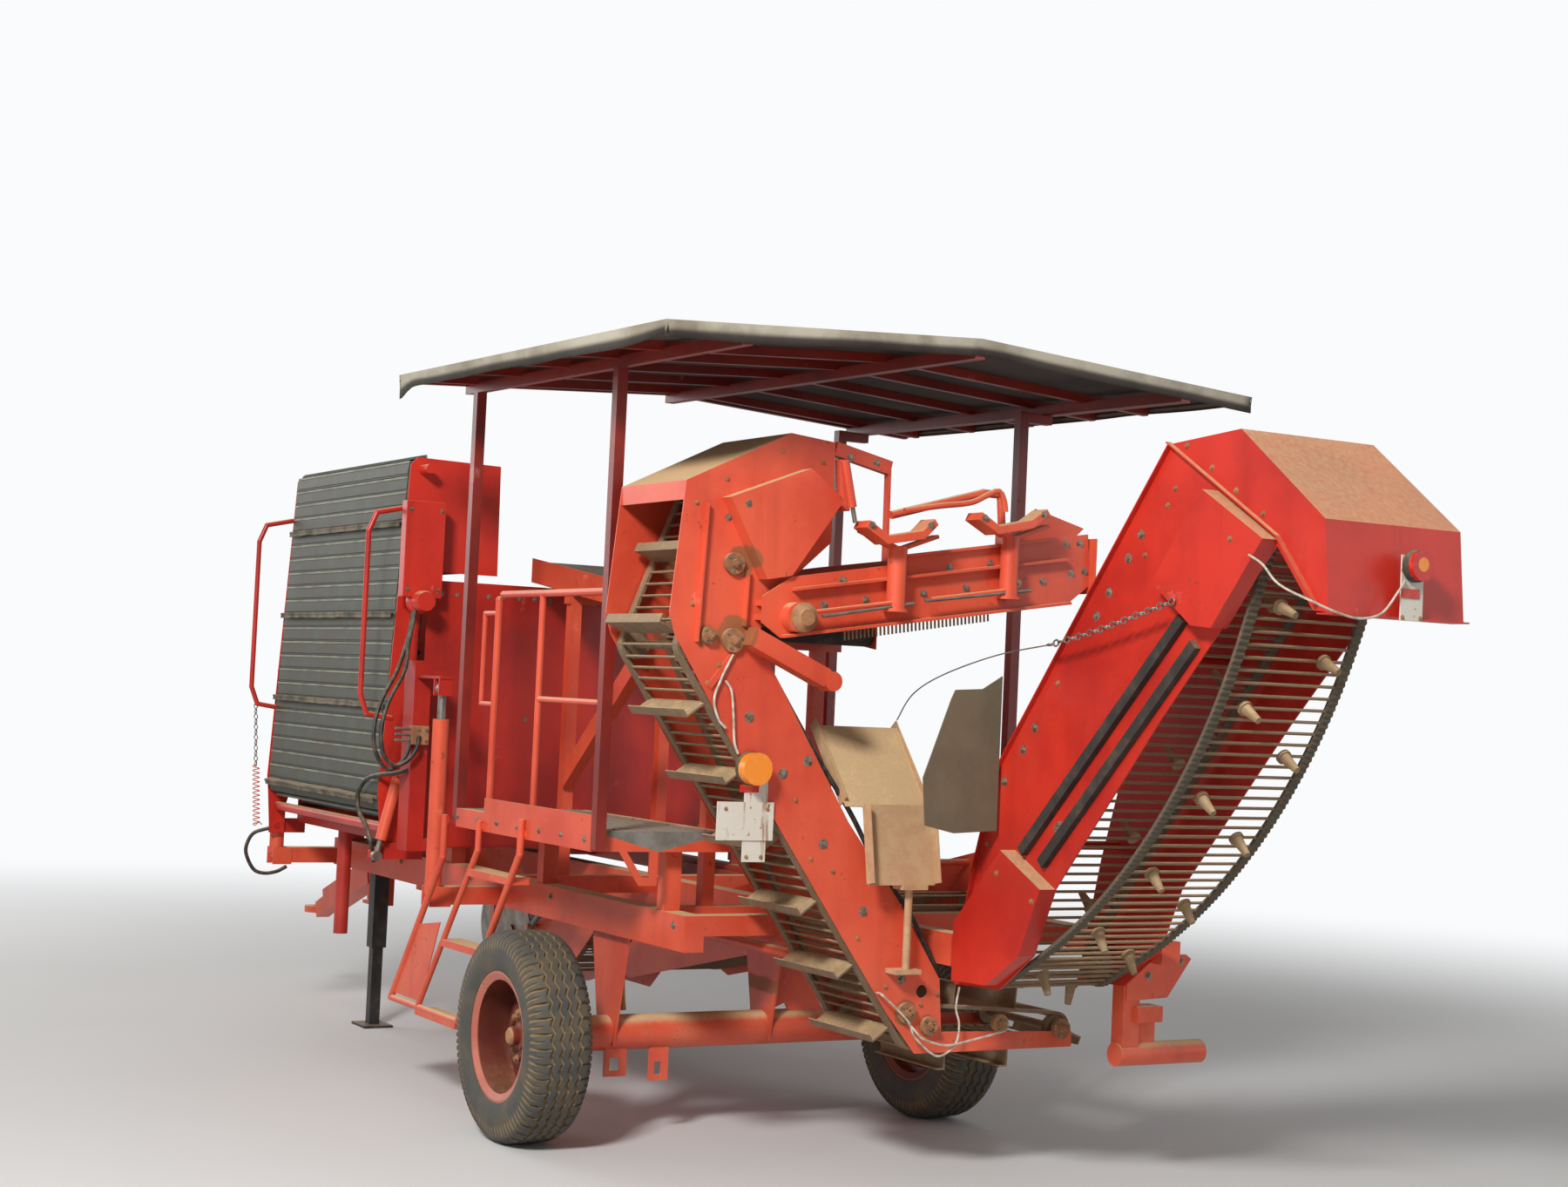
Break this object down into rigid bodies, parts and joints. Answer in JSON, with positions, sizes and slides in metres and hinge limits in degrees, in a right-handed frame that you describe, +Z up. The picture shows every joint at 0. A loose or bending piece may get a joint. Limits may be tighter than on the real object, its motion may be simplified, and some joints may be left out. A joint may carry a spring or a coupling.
{
  "type": "potato digger",
  "caption": "Trailed one row potato digger with digging channel, rod web elevators, belt separator, picking platform under a canopy, and a lifting bunker with a folding unloading belt.",
  "frame": {"origin": "middle of the overall plan at ground level", "axes": "+X forward to the tow eye, +Y to the left, +Z up"},
  "size_m": [8.6749, 3, 3.6949],
  "materials": {
    "frame_red": "faded, dusty red paint",
    "dull_steel": "worn, dusty steel",
    "tyre_rubber": "dusty tyre rubber",
    "belt_rubber": "matt belt rubber",
    "canopy_cloth": "dirty grey beige cloth",
    "black_paint": "black paint",
    "amber_lens": "amber lens",
    "rim_paint": "faded pink red paint with rust"
  },
  "bodies": {
    "chassis": {"main_frame": "frame_red", "axle": "frame_red", "jack_tube": "black_paint", "platform": "frame_red", "guard_rails": "frame_red", "ladder": "frame_red", "canopy_frame": "frame_red", "canopy": "canopy_cloth", "cross_casing": "frame_red", "cross_web": "dull_steel", "separator_frame": "frame_red", "separator_belt": "belt_rubber", "chutes": "dull_steel", "rubber_flap": "belt_rubber", "picking_table": "frame_red", "haulm_casing": "frame_red", "haulm_web": "dull_steel", "lamp_carriers": "dull_steel", "lamp_lenses": "amber_lens", "sieve_frame": "frame_red", "sieve_web": "dull_steel", "drive_line": "frame_red"},
    "wheel_left": {"wheel_left": "rim_paint", "tyre_left": "tyre_rubber"},
    "wheel_right": {"wheel_right": "rim_paint", "tyre_right": "tyre_rubber"},
    "drawbar": {"drawbar": "frame_red"},
    "jack": {"jack_leg": "black_paint"},
    "bunker": {"bunker": "frame_red", "bunker_floor": "belt_rubber"},
    "unload": {"unload_frame": "frame_red", "unload_belt": "belt_rubber"},
    "lift_barrels": {"lift_barrels": "frame_red"},
    "lift_rods": {"lift_rods": "dull_steel"},
    "fold_barrel": {"fold_barrels": "frame_red"},
    "fold_rod": {"fold_rods": "dull_steel"},
    "digger": {"digging_frame": "frame_red", "pickup_web": "dull_steel"},
    "dig_barrel": {"dig_barrel": "frame_red"},
    "dig_rod": {"dig_rod": "dull_steel"},
    "coulter_left": {"coulter_left": "dull_steel"},
    "coulter_right": {"coulter_right": "dull_steel"},
    "ridge_roller": {"ridge_roller": "dull_steel"}
  },
  "joints": [
    {"name": "wheel_left_spin", "type": "hinge", "parent": "chassis", "child": "wheel_left", "pos_m": [-0.6175, 1.126, 0.4825], "axis": [0, 1, 0], "continuous": true},
    {"name": "wheel_right_spin", "type": "hinge", "parent": "chassis", "child": "wheel_right", "pos_m": [-0.6175, -1.126, 0.4825], "axis": [0, 1, 0], "continuous": true},
    {"name": "drawbar_steer", "type": "hinge", "parent": "chassis", "child": "drawbar", "pos_m": [3.1725, 0.43, 0.9], "axis": [0, 0, 1], "range_deg": [-15, 15]},
    {"name": "jack_slide", "type": "slide", "parent": "chassis", "child": "jack", "axis": [0, 0, 1], "range_m": [0, 0.34]},
    {"name": "bunker_lift", "type": "hinge", "parent": "chassis", "child": "bunker", "pos_m": [2.0825, -1.02, 1.16], "axis": [1, 0, 0], "range_deg": [0, 12]},
    {"name": "lift_barrel_swing", "type": "hinge", "parent": "chassis", "child": "lift_barrels", "pos_m": [1.8625, 1.098, 1], "axis": [1, 0, 0], "range_deg": [0, 8.97]},
    {"name": "lift_rod_slide", "type": "slide", "parent": "lift_barrels", "child": "lift_rods", "axis": [0, 0.0019, 1], "range_m": [0, 0.43909]},
    {"name": "unload_fold", "type": "hinge", "parent": "bunker", "child": "unload", "pos_m": [2.0825, 1.13, 1.18], "axis": [-1, 0, 0], "range_deg": [0, 80]},
    {"name": "fold_barrel_swing", "type": "hinge", "parent": "bunker", "child": "fold_barrel", "pos_m": [1.1225, 1.12, 1.58], "axis": [-1, 0, 0], "range_deg": [0, 12.7]},
    {"name": "fold_rod_slide", "type": "slide", "parent": "fold_barrel", "child": "fold_rod", "axis": [0, 0.2316, -0.9728], "range_m": [0, 0.0604]},
    {"name": "digger_lower", "type": "hinge", "parent": "chassis", "child": "digger", "pos_m": [1.1425, -0.62, 1.02], "axis": [0, 1, 0], "range_deg": [0, 7]},
    {"name": "dig_barrel_swing", "type": "hinge", "parent": "chassis", "child": "dig_barrel", "pos_m": [1.8325, -0.26, 1.03], "axis": [0, 1, 0], "range_deg": [0, 12.09]},
    {"name": "dig_rod_slide", "type": "slide", "parent": "dig_barrel", "child": "dig_rod", "axis": [0.8157, 0, -0.5784], "range_m": [0, 0.05667]},
    {"name": "coulter_left_spin", "type": "hinge", "parent": "digger", "child": "coulter_left", "pos_m": [2.7125, -0.282, 0.56], "axis": [0, 1, 0], "continuous": true},
    {"name": "coulter_right_spin", "type": "hinge", "parent": "digger", "child": "coulter_right", "pos_m": [2.7125, -0.958, 0.56], "axis": [0, 1, 0], "continuous": true},
    {"name": "ridge_roller_spin", "type": "hinge", "parent": "digger", "child": "ridge_roller", "pos_m": [3.0775, -0.62, 0.59], "axis": [0, 1, 0], "continuous": true}
  ],
  "couplings": [
    {"joint": "lift_barrel_swing", "follows": "bunker_lift", "ratio": 0.74748},
    {"joint": "lift_rod_slide", "follows": "bunker_lift", "m_per_rad": 2.0965},
    {"joint": "fold_barrel_swing", "follows": "unload_fold", "ratio": 0.15877},
    {"joint": "fold_rod_slide", "follows": "unload_fold", "m_per_rad": 0.043255},
    {"joint": "dig_barrel_swing", "follows": "digger_lower", "ratio": 1.7272},
    {"joint": "dig_rod_slide", "follows": "digger_lower", "m_per_rad": 0.4638}
  ]
}
